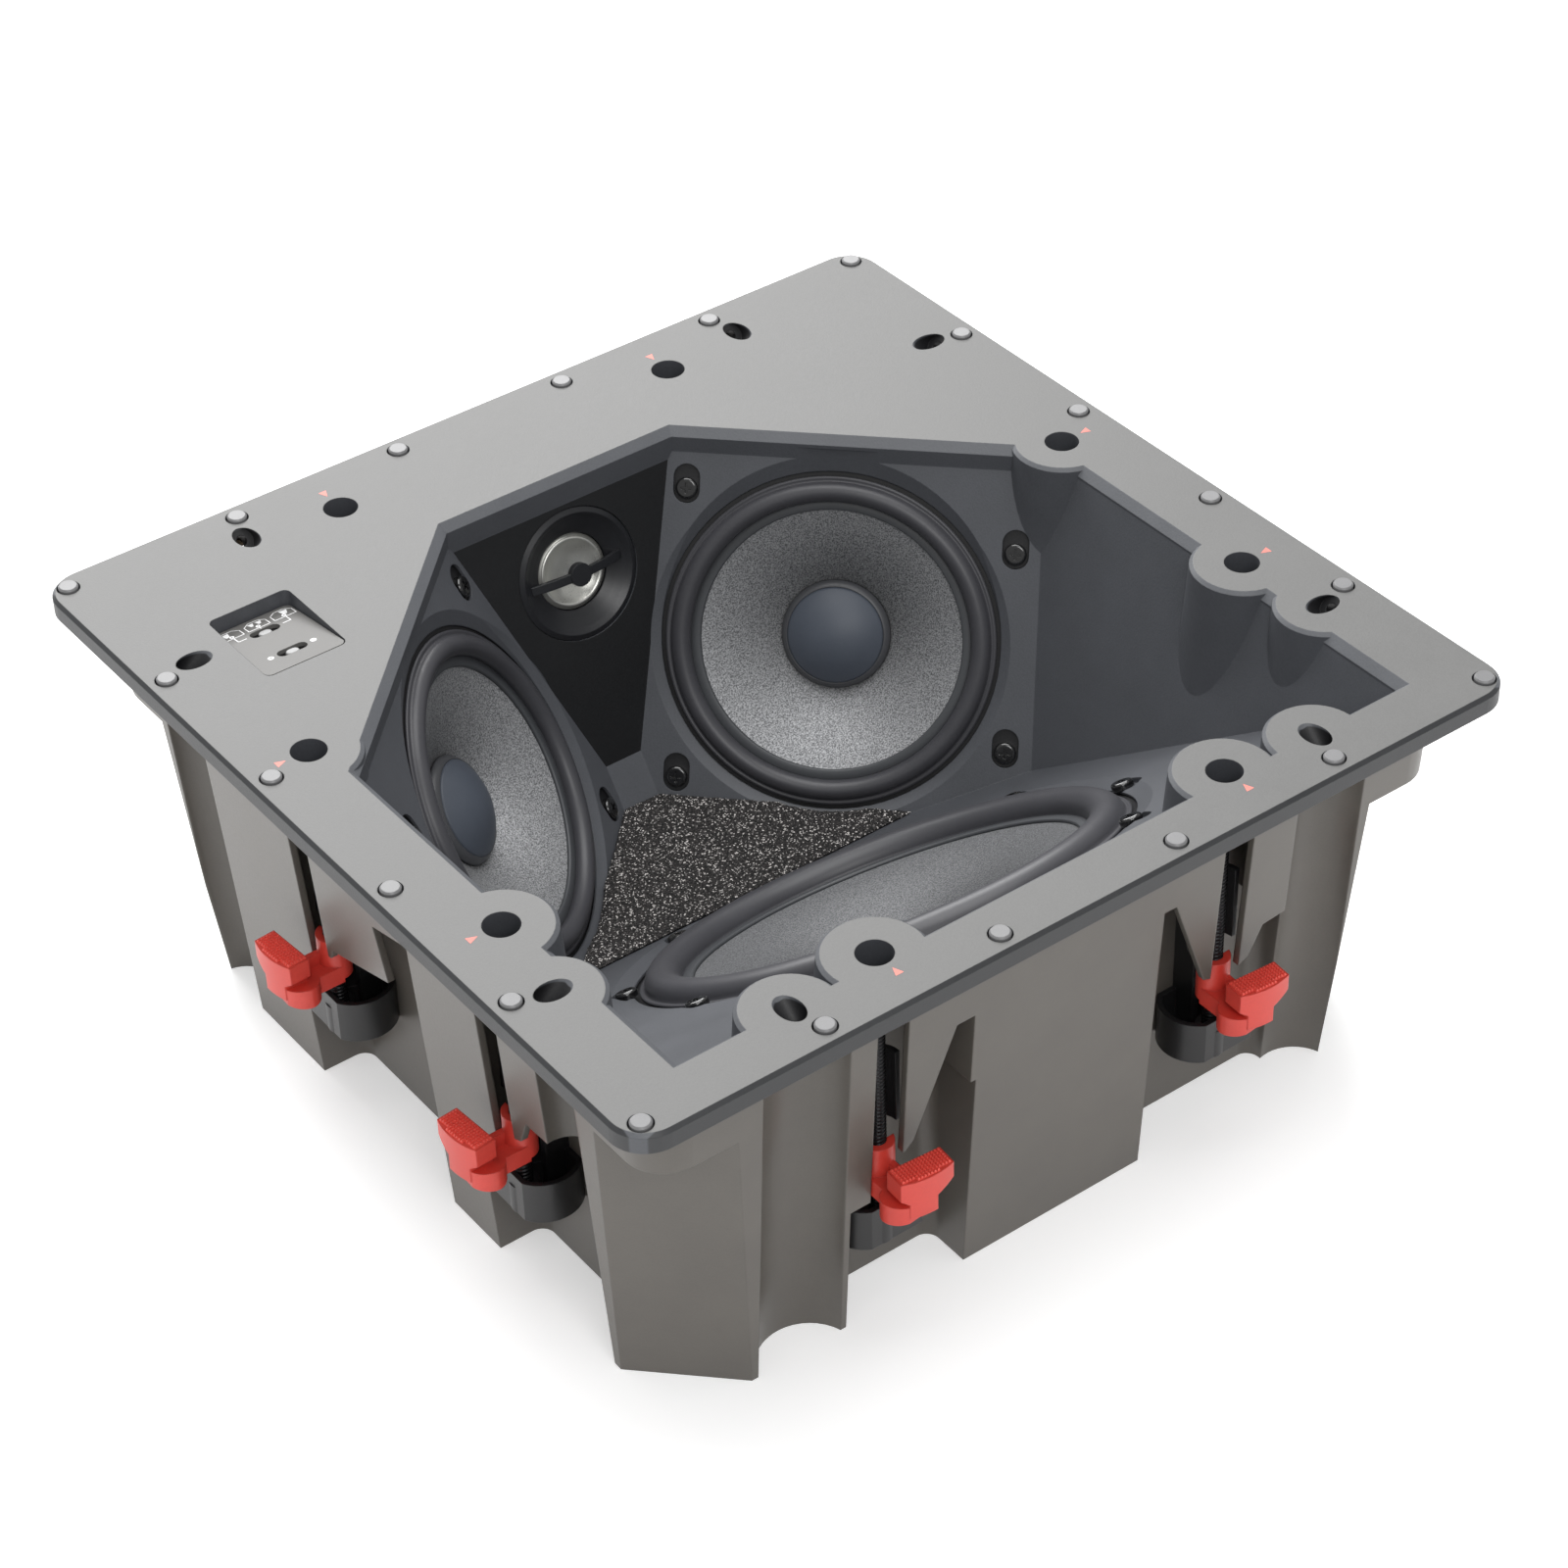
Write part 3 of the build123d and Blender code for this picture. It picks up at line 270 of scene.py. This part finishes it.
finishes = dict(
    front_baffle=baffleFinish(),
    back_box=mouldedPlastic("boxPlastic", tone(84, 80, 75), tone(93, 89, 83), 0.38, 1300, 0.00003, 0.0009),
    midPaper=speckledCone("midPaper", tone(92, 93, 95), tone(176, 177, 179)),
    bassPaper=speckledCone("bassPaper", tone(76, 77, 79), tone(122, 123, 125)),
    gasket=mouldedPlastic("foamStrip", tone(38, 32, 26), tone(132, 116, 92), 0.95, 700, 0.0004, 0),
    grille_magnets=mouldedPlastic("platedMagnet", tone(112, 112, 113), tone(122, 122, 123), 0.36, 1500, 0.00001,
                                  0.0004),
    clamp_towers=mouldedPlastic("blackTower", tone(24, 24, 25), tone(32, 32, 33), 0.38, 1400, 0.00002, 0.0005),
    clamp_screw=mouldedPlastic("blackedSteel", tone(22, 22, 23), tone(34, 34, 36), 0.3, 1800, 0.00001, 0.0002,
                               Metallic=0.7),
    clamp_nut=mouldedPlastic("plainSteel", tone(120, 120, 122), tone(150, 150, 152), 0.34, 1500, 0.00001,
                             0.0002, Metallic=1.0),
    clamp_dog=mouldedPlastic("redNylon", tone(198, 56, 46), tone(214, 68, 56), 0.42, 1300, 0.00002, 0.0006),
    # painted light: a lighter copy of the red nylon for the knurl, lifting the dog's shaded top
    dogTipsPaintedLight=mouldedPlastic("redTipsPaintedLight", tone(226, 78, 66), tone(240, 92, 80), 0.42, 1300, 0.00002, 0),
    basket=mouldedPlastic("coatedBasket", tone(20, 20, 21), tone(28, 28, 29), 0.32, 1500, 0.00002, 0.0005),
    surround=mouldedPlastic("rubberRoll", tone(59, 59, 63), tone(67, 67, 71), 0.42, 1500, 0.00001, 0),
    edgeRing=mouldedPlastic("edgeRing", tone(64, 66, 69), tone(72, 74, 77), 0.45, 1500, 0.00001, 0),
    dust_cap=mouldedPlastic("dustCapCoat", tone(70, 76, 86), tone(78, 84, 94), 0.5, 1600, 0.00002, 0),
    capRing=mouldedPlastic("capRing", tone(66, 67, 70), tone(74, 75, 78), 0.4, 1500, 0.00002, 0),
    motor=mouldedPlastic("ferrite", tone(48, 48, 50), tone(66, 66, 68), 0.5, 900, 0.00004, 0.0008),
    spider=mouldedPlastic("spiderCloth", tone(160, 118, 58), tone(186, 142, 76), 0.85, 800, 0.0001, 0),
    driver_screws=mouldedPlastic("screwGloss", tone(14, 14, 15), tone(20, 20, 21), 0.16, 1500, 0.000002, 0.0003,
                                 Coat_Weight=1.0),
    tweeter_horn=mouldedPlastic("hornPlastic", tone(27, 28, 31), tone(33, 34, 37), 0.34, 1500, 0.00001, 0.0005),
    tweeter_dome=mouldedPlastic("domeMetal", tone(208, 208, 202), tone(218, 218, 212), 0.3, 1500, 0.000001, 0,
                                Metallic=0.75),
    switch_plate=mouldedPlastic("panelPlastic", tone(96, 95, 93), tone(105, 104, 102), 0.5, 1500, 0.00003,
                                0.0003),
    switch_knob=mouldedPlastic("knobPlastic", tone(140, 140, 140), tone(152, 152, 152), 0.4, 1500, 0.00001,
                               0.0004),
    housing=mouldedPlastic("housingBlack", tone(14, 14, 15), tone(19, 19, 20), 0.5, 1500, 0.00001, 0),
    board=mouldedPlastic("boardGreen", tone(24, 60, 34), tone(34, 76, 44), 0.4, 900, 0.00003, 0.0003),
    foam_wedge=foamFinish(),
    mark=mouldedPlastic("markPaint", tone(216, 112, 102), tone(232, 130, 118), 0.5, 1500, 0.00001, 0),
    paleInk=mouldedPlastic("paleInk", tone(226, 226, 226), tone(244, 244, 244), 0.5, 1500, 0.00001, 0),
)
# which finish the numbered nodes take, by the start of their names
nodeFinish = {"clamp_nut": "clamp_nut", "clamp_screw": "clamp_screw", "clamp_dog": "clamp_dog",
              "switch_knob": "switch_knob", "switch_housings": "housing", "crossover_board": "board",
              "terminal_block": "housing", "tweeter_motor": "motor", "tweeter_phase_bar": "tweeter_horn"}


def dress(piece, finish):
    piece.data.materials.clear()
    piece.data.materials.append(finish.material)


for name, piece in nodes.items():
    found = finishes.get(name)
    for start, key in nodeFinish.items():
        if name.startswith(start):
            found = finishes[key]
    for part in ("basket", "surround", "motor", "spider", "dust_cap"):
        if name.endswith("_" + part):
            found = finishes[part]
    dress(piece, found or finishes["basket"])
print("finishes made:", len(finishes))


def meshPiece(name, vertices, faces, finish, body="enclosure", smooth=True, slot=None, replaced=()):
    mesh = bpy.data.meshes.new(name)
    mesh.from_pydata([tuple(v) for v in vertices], [], faces)
    mesh.validate()
    built = bmesh.new()
    built.from_mesh(mesh)
    bmesh.ops.remove_doubles(built, verts=built.verts, dist=1e-7)
    bmesh.ops.recalc_face_normals(built, faces=built.faces)
    built.to_mesh(mesh)
    built.free()
    piece = bpy.data.objects.new(name, mesh)
    bpy.context.collection.objects.link(piece)
    for face in mesh.polygons:
        face.use_smooth = smooth
    dress(piece, finish)
    if replaced:
        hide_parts(*replaced)
    if body:
        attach(piece, body)
    return piece


def arcThrough(a, b, c, count):     # points of the circle through three (r, z) points
    (ax, ay), (bx, by), (cx, cy) = a, b, c
    twice = 2 * (ax * (by - cy) + bx * (cy - ay) + cx * (ay - by))
    fromA, fromB, fromC = ax ** 2 + ay ** 2, bx ** 2 + by ** 2, cx ** 2 + cy ** 2
    middleX = (fromA * (by - cy) + fromB * (cy - ay) + fromC * (ay - by)) / twice
    middleY = (fromA * (cx - bx) + fromB * (ax - cx) + fromC * (bx - ax)) / twice
    radius = math.hypot(ax - middleX, ay - middleY)
    first, through, last = [math.atan2(y - middleY, x - middleX) for x, y in (a, b, c)]
    through = first + (through - first + math.pi) % (2 * math.pi) - math.pi
    sweep = (last - first) % (2 * math.pi)
    if through < first:
        sweep -= 2 * math.pi
    turns = [first + sweep * k / count for k in range(count + 1)]
    return [(middleX + radius * math.cos(turn), middleY + radius * math.sin(turn)) for turn in turns]


def lathe(name, profile, place, finish, around, **more):     # profile in mm, closed round in (r, z)
    vertices, faces, count = [], [], len(profile)
    for k in range(around):
        turn = 2 * math.pi * k / around
        for r, z in profile:
            vertices.append(place @ Vector((r * mm * math.cos(turn), r * mm * math.sin(turn), z * mm)))
    for k in range(around):
        a, b = k * count, ((k + 1) % around) * count
        for j in range(count):
            i = (j + 1) % count
            if profile[j][0] == 0 and profile[i][0] == 0:
                continue
            faces.append((a + j, a + i, b + i, b + j))
    return meshPiece(name, vertices, faces, finish, **more)


def facetPlace(name):
    heading, normal = math.radians(facets[name][2]), facetNormal(name)
    level = Vector((-math.sin(heading), math.cos(heading), 0))
    place = Matrix((level, normal.cross(level), normal)).transposed().to_4x4()
    place.translation = facetCentre(name)
    return place


# side and bass drivers, in mm from the facet: radii of roll, cone and cap, heights and depths along its normal
midDriver = dict(surround=59.0, cone=49.0, cap=19.7, coneEdge=5.0, coneDepth=20.5, roll=4.0, former=14.5,
                 dome=6.0, skirt=2.6, paper="midPaper")
bassDriver = dict(surround=86.0, cone=70.0, cap=26.0, coneEdge=4.4, coneDepth=22.0, roll=6.6, former=19.0,
                  dome=6.0, skirt=1.5, paper="bassPaper")
driverWalls = dict(seat=-3.3, rubber=1.2, rollIn=1.5, rollOut=2.0, cone=0.9, ring=2.4, former=0.9,
                   formerLength=14.0, neckDrop=2.0, cap=0.8, capLip=2.4, capRise=1.4)


def rollProfile(s, edge, lip):
    walls = driverWalls
    rubber, crest = walls["rubber"], walls["seat"] + s["roll"]
    innerRim, outerRim = s["cone"] + walls["rollIn"], s["surround"] - walls["rollOut"]
    middle = (innerRim + outerRim) / 2
    over = arcThrough((innerRim, edge), (middle, crest), (outerRim, lip), 22)
    under = arcThrough((outerRim - rubber * 0.6, lip - rubber), (middle, crest - rubber),
                       (innerRim + rubber * 0.6, edge - rubber), 18)
    bead = [(outerRim + 0.5, lip - 0.5), (outerRim + 1.0, lip - 0.1), (s["surround"] - 0.5, lip - 0.15),
            (s["surround"], lip - 0.45), (s["surround"], lip - rubber)]
    return [(s["cone"] - 0.6, edge + 0.05), (s["cone"] + 1.0, edge)] + over + bead + under + [
        (s["cone"] - 0.6, edge - 0.2)]


def coneProfile(s, edge):     # the paper cone with its voice-coil former
    walls = driverWalls
    top, below, neck = edge - 0.25, edge - walls["rubber"], -s["coneDepth"] - walls["neckDrop"]
    outer, foot = s["former"] + walls["former"], neck - walls["formerLength"]
    return [(s["cone"] + 1.0, below - 0.05), (s["cone"] + 1.0, below - walls["cone"]),
            (s["cone"] - 1.5, below - walls["cone"]), (outer, neck - walls["cone"]), (outer, foot),
            (s["former"], foot), (s["former"], neck),
            (s["cone"] - 2.0, top - 0.6), (s["cone"] - 1.0, top - 0.2)]


def edgeRingProfile(s, edge):     # the flat ring glued over the cone's edge
    inner, flat = s["cone"] - driverWalls["ring"], edge + 0.25
    return [(inner, edge - 1.15), (inner + 0.2, flat - 0.15), (inner + 0.6, flat),
            (s["cone"] + 1.2, flat + 0.05), (s["cone"] + 1.5, flat - 0.2), (s["cone"] + 0.4, edge - 0.15)]


def capProfiles(s):     # dust cap and the ring round its foot
    base, rim = -s["coneDepth"] + driverWalls["capRise"], s["cap"] - driverWalls["capLip"]
    foot = base + s["skirt"]
    dome = arcThrough((rim, foot), (rim * 0.72, foot + s["dome"] * 0.5), (0.0, foot + s["dome"]), 22)
    cap = dome + [(0.0, foot + s["dome"] - driverWalls["cap"]), (rim - 1.0, base + 0.2)]
    ring = [(s["cap"], base - 0.6), (s["cap"] - 0.25, base + 0.3), (rim + 0.3, foot), (rim + 0.05, foot - 0.1),
            (rim - 0.4, base - 0.2)]
    return cap, ring


def driverPieces(name, s):
    kind, body = name.split("_")[0], name + "_moving"
    place, normal = facetPlace(name), facetNormal(name)
    edge, lip = 0.3 - s["coneEdge"], driverWalls["seat"] + driverWalls["rubber"] + 0.02
    roll = lathe(name + "_roll", rollProfile(s, edge, lip), place, finishes["surround"], 160, body=None,
                 slot=kind + "_surround", replaced=[name + "_surround"])
    place.translation + normal * (lip - 0.6) * mm
    place.translation + normal * edge * mm
    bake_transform(roll)
    lathe(name + "_paper", coneProfile(s, edge), place, finishes[s["paper"]], 160, body=body,
          slot=kind + "_cone", replaced=[name + "_cone"])
    lathe(name + "_edge_ring", edgeRingProfile(s, edge), place, finishes["edgeRing"], 160, body=body)
    cap, ring = capProfiles(s)
    lathe(name + "_cap", cap, place, finishes["dust_cap"], 96, body=body, slot=kind + "_dust_cap",
          replaced=[name + "_dust_cap"])
    lathe(name + "_cap_ring", ring, place, finishes["capRing"], 96, body=body)


for driverName, sizes in (("mid_left", midDriver), ("mid_right", midDriver), ("bass", bassDriver)):
    driverPieces(driverName, sizes)

tweeterDome = dict(radius=12.6, seat=-5.0, dish=3.4, rim=13.7, thick=0.5)


def silverDome():     # dished inwards, with a bright rolled rim
    t = tweeterDome
    r, base = t["radius"], t["seat"]
    half, foot = base - t["dish"] * 0.62, base - t["dish"]
    dish = arcThrough((r - 1.4, base + 0.45), (r * 0.6, half), (0.0, foot), 24)
    under = arcThrough((0.0, foot - t["thick"]), (r * 0.6, half - t["thick"]),
                       (r - 1.4, base + 0.45 - t["thick"]), 12)
    rim = [(t["rim"], base - 0.4), (t["rim"], base), (r + 0.1, base + 0.1), (r, base + 0.6),
           (r - 0.3, base + 0.9), (r - 0.7, base + 0.95), (r - 1.1, base + 0.75)]
    lathe("tweeter_bowl", rim + dish + under + [(r - 0.6, base - 0.3)], facetPlace("tweeter"),
          finishes["tweeter_dome"], 96, body="tweeter_moving", slot="tweeter_dome", replaced=["tweeter_dome"])


silverDome()
print("drivers turned")

clampSides = {"front": 0, "left": -90, "right": 90, "rear": 180}     # each side's turn in degrees
clampNames = [side + "_" + number for side in clampSides for number in "12"]
thread = dict(root=2.5, crest=2.95, pitch=1.5, top=-19.0, bottom=-109.0, steps=20, crestFrom=0.38, crestTo=0.52,
              foot=0.9)
knurl = dict(top=-76.0, length=19.4, depth=7.7, crown=1.8, reach=21.1, offset=2.9, turn=-4.4,
             pitch=1.2, height=0.8, root=-0.1, blunt=0.3, border=0.35)


def clampFrame(name):     # the screw's axis at the flange's room face, turned to its side
    low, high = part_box("clamp_screw_" + name)
    x, y = [round(v, 4) for v in ((low + high) / 2).xy]     # to 0.1 mm, because a round mesh is a little uneven
    turn = math.radians(clampSides[name.split("_")[0]])
    return Matrix.Translation((x, y, flangeTop)) @ Matrix.Rotation(turn, 4, "Z")


def threadMesh():
    t = thread
    vertices, faces = [], []
    total = int((t["top"] - t["bottom"]) / t["pitch"] * t["steps"])
    section = ((t["root"], 0.0), (t["crest"], t["crestFrom"]), (t["crest"], t["crestTo"]),
               (t["root"], t["foot"]))
    for k in range(total + 1):
        turn = 2 * math.pi * k / t["steps"]
        low = t["bottom"] + t["pitch"] * k / t["steps"]
        for r, rise in section:
            vertices.append(Vector((r * math.cos(turn), r * math.sin(turn), low + rise * t["pitch"])) * mm)
    for k in range(total):
        a, b = 4 * k, 4 * k + 4
        faces += [(a + j, b + j, b + j + 1, a + j + 1) for j in range(3)]
    faces += [(0, 1, 2, 3), tuple(4 * total + j for j in (3, 2, 1, 0))]
    return vertices, faces


def knurlMesh(side):     # blunt pyramids inside the pad's outline; side is -1 for a mirrored dog
    t = knurl
    vertices, faces = [], []
    half, step = t["length"] / 2, t["pitch"]
    place = (Matrix.Translation(Vector((t["offset"], -t["reach"], t["top"])) * mm)
             @ Matrix.Rotation(math.radians(t["turn"]), 4, "Z"))
    square = ((0, 0), (1, 0), (1, 1), (0, 1))
    low, high, root = t["blunt"], 1 - t["blunt"], t["root"]
    pyramid = [(x, y, root) for x, y in square]
    pyramid += [(high if x else low, high if y else low, 1) for x, y in square]
    across, down = int(2 * (half - t["border"]) / step), int((t["depth"] + t["crown"]) / step)
    for i in range(across):
        for j in range(down):
            left, bottom = (i - across / 2) * step, t["depth"] - t["border"] - (j + 1) * step
            far = max(abs(left), abs(left + step))
            if bottom < t["border"] - t["crown"] * (1 - (far / half) ** 2):     # outside the bowed edge
                continue
            base = len(vertices)
            for x, y, z in pyramid:
                spot = place @ (Vector((left + x * step, bottom + y * step, z * t["height"])) * mm)
                vertices.append(Vector((side * spot.x, spot.y, spot.z)))
            faces += [tuple(base + n for n in face) for face in
                      ((0, 1, 5, 4), (1, 2, 6, 5), (2, 3, 7, 6), (3, 0, 4, 7), (4, 5, 6, 7), (3, 2, 1, 0))]
    return vertices, faces


threadVertices, threadFaces = threadMesh()
for clampName in clampNames:
    place = clampFrame(clampName)
    knurlVertices, knurlFaces = knurlMesh(1 if clampName.startswith(("front", "rear")) else -1)
    meshPiece("thread_" + clampName, [place @ v for v in threadVertices], threadFaces, finishes["clamp_screw"],
              body="screw_" + clampName, smooth=False, slot="clamp_screw")
    # the knurl takes the painted-light copy of the red nylon
    meshPiece("knurl_" + clampName, [place @ v for v in knurlVertices], knurlFaces, finishes["dogTipsPaintedLight"],
              body="dog_" + clampName, smooth=False, slot="clamp_dog")
print("clamps detailed")


def foamBlock():     # the solid's shape with a torn, lumpy surface
    piece = nodes["foam_wedge"].copy()
    piece.data = nodes["foam_wedge"].data.copy()
    piece.name = "foam_block"
    piece.parent = None
    bpy.context.collection.objects.link(piece)
    remesh = piece.modifiers.new("remesh", "REMESH")
    remesh.mode, remesh.voxel_size = "VOXEL", foamLook["voxel"] * mm
    lumps = bpy.data.textures.new("lumps", "CLOUDS")
    lumps.noise_scale = foamLook["lumpScale"]
    rough = piece.modifiers.new("lumps", "DISPLACE")
    rough.texture, rough.strength, rough.mid_level = lumps, foamLook["lump"] * mm, foamLook["lumpMiddle"]
    dress(piece, finishes["foam_wedge"])
    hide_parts("foam_wedge")
    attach(piece, "enclosure")


foamBlock()
print("foam roughened")

markLook = dict(size=3.6, half=1.5, away=8.4, lift=0.03)     # length, half width, place out from the screw


def alignmentMarks():
    vertices, faces, look = [], [], markLook
    tip, foot = -look["away"], -look["away"] - look["size"]
    for name in clampNames:
        place = clampFrame(name)
        for x, y in ((0, tip), (look["half"], foot), (-look["half"], foot)):
            vertices.append(place @ (Vector((x, y, look["lift"])) * mm))
        faces.append(tuple(range(len(vertices) - 3, len(vertices))))
    meshPiece("alignment_marks", vertices, faces, finishes["mark"], smooth=False)


alignmentMarks()

panelLook = dict(x=-123.5, y=99.5, height=38.0, fall=9.0, line=0.34, lift=0.04, houseFoot=12.4, upperSlot=9.0,
                 lowerSlot=-9.0, slotEnd=5.5, leadOut=1.6, ringOut=2.6)
houseLine = [(-4.1, 0.0), (4.1, 0.0), (4.1, 3.6), (2.0, 5.2), (-1.8, 5.2), (-4.1, 3.4), (-4.1, 0.0)]
houses = [     # each house's middle and the wedge of sound in it
    (-10.0, [(-2.7, 4.3), (0.2, 4.6), (-0.3, 2.0), (-1.6, 1.7)]),
    (0.0, [(-2.6, 4.3), (-0.3, 4.4), (-1.0, 2.3), (-1.9, 2.4)]),
    (10.0, [(-0.4, 4.6), (2.6, 4.2), (1.6, 1.7), (0.1, 2.0)])]


def panelInk():     # small line signs by the two slots
    look, vertices, faces = panelLook, [], []
    fall = math.radians(-look["fall"])

    def spot(u, v):     # a point of the plate, mm across and up from its middle
        away = v + look["height"] / 2
        level = look["y"] - look["height"] / 2 + away * math.cos(fall) - look["lift"] * math.sin(fall)
        rise = away * math.sin(fall) + look["lift"] * math.cos(fall)
        return Vector((look["x"] + u, level, rise)) * mm + Vector((0, 0, flangeTop))

    def patch(points):
        faces.append(tuple(range(len(vertices), len(vertices) + len(points))))
        vertices.extend(spot(u, v) for u, v in points)

    def stroke(points):
        half = look["line"] / 2
        for (u0, v0), (u1, v1) in zip(points, points[1:]):
            length = math.hypot(u1 - u0, v1 - v0)
            a, b = (u1 - u0) / length * half, (v1 - v0) / length * half
            patch([(u0 - a + b, v0 - b - a), (u1 + a + b, v1 + b - a), (u1 + a - b, v1 + b + a),
                   (u0 - a - b, v0 - b + a)])

    def ring(u, v, outer, inner, sides=20):
        turns = [2 * math.pi * k / sides for k in range(sides + 1)]
        for a, b in zip(turns, turns[1:]):
            patch([(u + r * math.cos(t), v + r * math.sin(t))
                   for r, t in ((inner, a), (outer, a), (outer, b), (inner, b))])

    foot, upper, lead = look["houseFoot"], look["upperSlot"], look["slotEnd"] + look["leadOut"]
    for middle, wedge in houses:
        stroke([(middle + u, foot + v) for u, v in houseLine])
        patch([(middle + u, foot + v) for u, v in wedge])
        ring(middle, foot + 1.2, 0.85, 0.3)
        if middle:     # a line from the house down to the slot's end
            stroke([(middle, foot), (middle, upper), (math.copysign(lead, middle), upper)])
        else:
            patch([(-u, foot + v) for u, v in reversed(wedge)])
            stroke([(0.0, foot), (0.0, upper + 2.6)])
    ringAway = look["slotEnd"] + look["ringOut"]
    ring(-ringAway, look["lowerSlot"], 1.1, 0.45)
    ring(ringAway, look["lowerSlot"], 1.1, 0.3)
    meshPiece("panel_ink", vertices, faces, finishes["paleInk"], smooth=False)


panelInk()
print("marks drawn")

viewLook = dict(lens=90.949, sensor=36.0, reach=20, place=(-0.605194, -0.847445, 0.915457),
                turn=(51.42812, 1.39839, -36.98349))
camera = bpy.data.cameras.new("camera")
camera.lens, camera.sensor_width, camera.clip_end = viewLook["lens"], viewLook["sensor"], viewLook["reach"]
view = bpy.data.objects.new("camera", camera)
view.location = viewLook["place"]
view.rotation_euler = Euler([math.radians(a) for a in viewLook["turn"]])
bpy.context.collection.objects.link(view)
bpy.context.scene.camera = view

floorLook = dict(size=14, grey=0.8, glow=0.42)     # the glow keeps it white outside the contact shadow
bpy.ops.mesh.primitive_plane_add(size=floorLook["size"], location=(0, 0, 0))
floor = bpy.context.object
floor.name = "floor"
dress(floor, Finish("paleFloor", Base_Color=(floorLook["grey"],) * 3, Roughness=0.95, Specular_IOR_Level=0.0,
                    Emission_Color=(1.0, 1.0, 1.0), Emission_Strength=floorLook["glow"]))

skyStrength = 0.45
lamps = [     # name, place, aimed at, width, height, watts
    ("overhead", (0.1, 0.2, 2.1), (0, 0, 0.1), 1.8, 1.6, 32),
    ("back", (0.5, 1.7, 1.3), (0, 0, 0.12), 2.0, 1.1, 50),
    ("front", (-0.7, -1.7, 1.8), (0, 0, 0.05), 1.2, 1.0, 18),
]
for name, place, target, width, height, watts in lamps:
    lamp = bpy.data.lights.new(name, "AREA")
    lamp.shape, lamp.size, lamp.size_y, lamp.energy = "RECTANGLE", width, height, watts
    holder = bpy.data.objects.new(name, lamp)
    holder.location = place
    holder.rotation_euler = (Vector(target) - Vector(place)).to_track_quat("-Z", "Y").to_euler()
    bpy.context.collection.objects.link(holder)
world = bpy.data.worlds.new("studio")
world.use_nodes = True
sky = world.node_tree.nodes["Background"]
sky.inputs["Color"].default_value, sky.inputs["Strength"].default_value = (1, 1, 1, 1), skyStrength
bpy.context.scene.world = world
bpy.context.scene.view_settings.view_transform = "Standard"

print("scene ready")
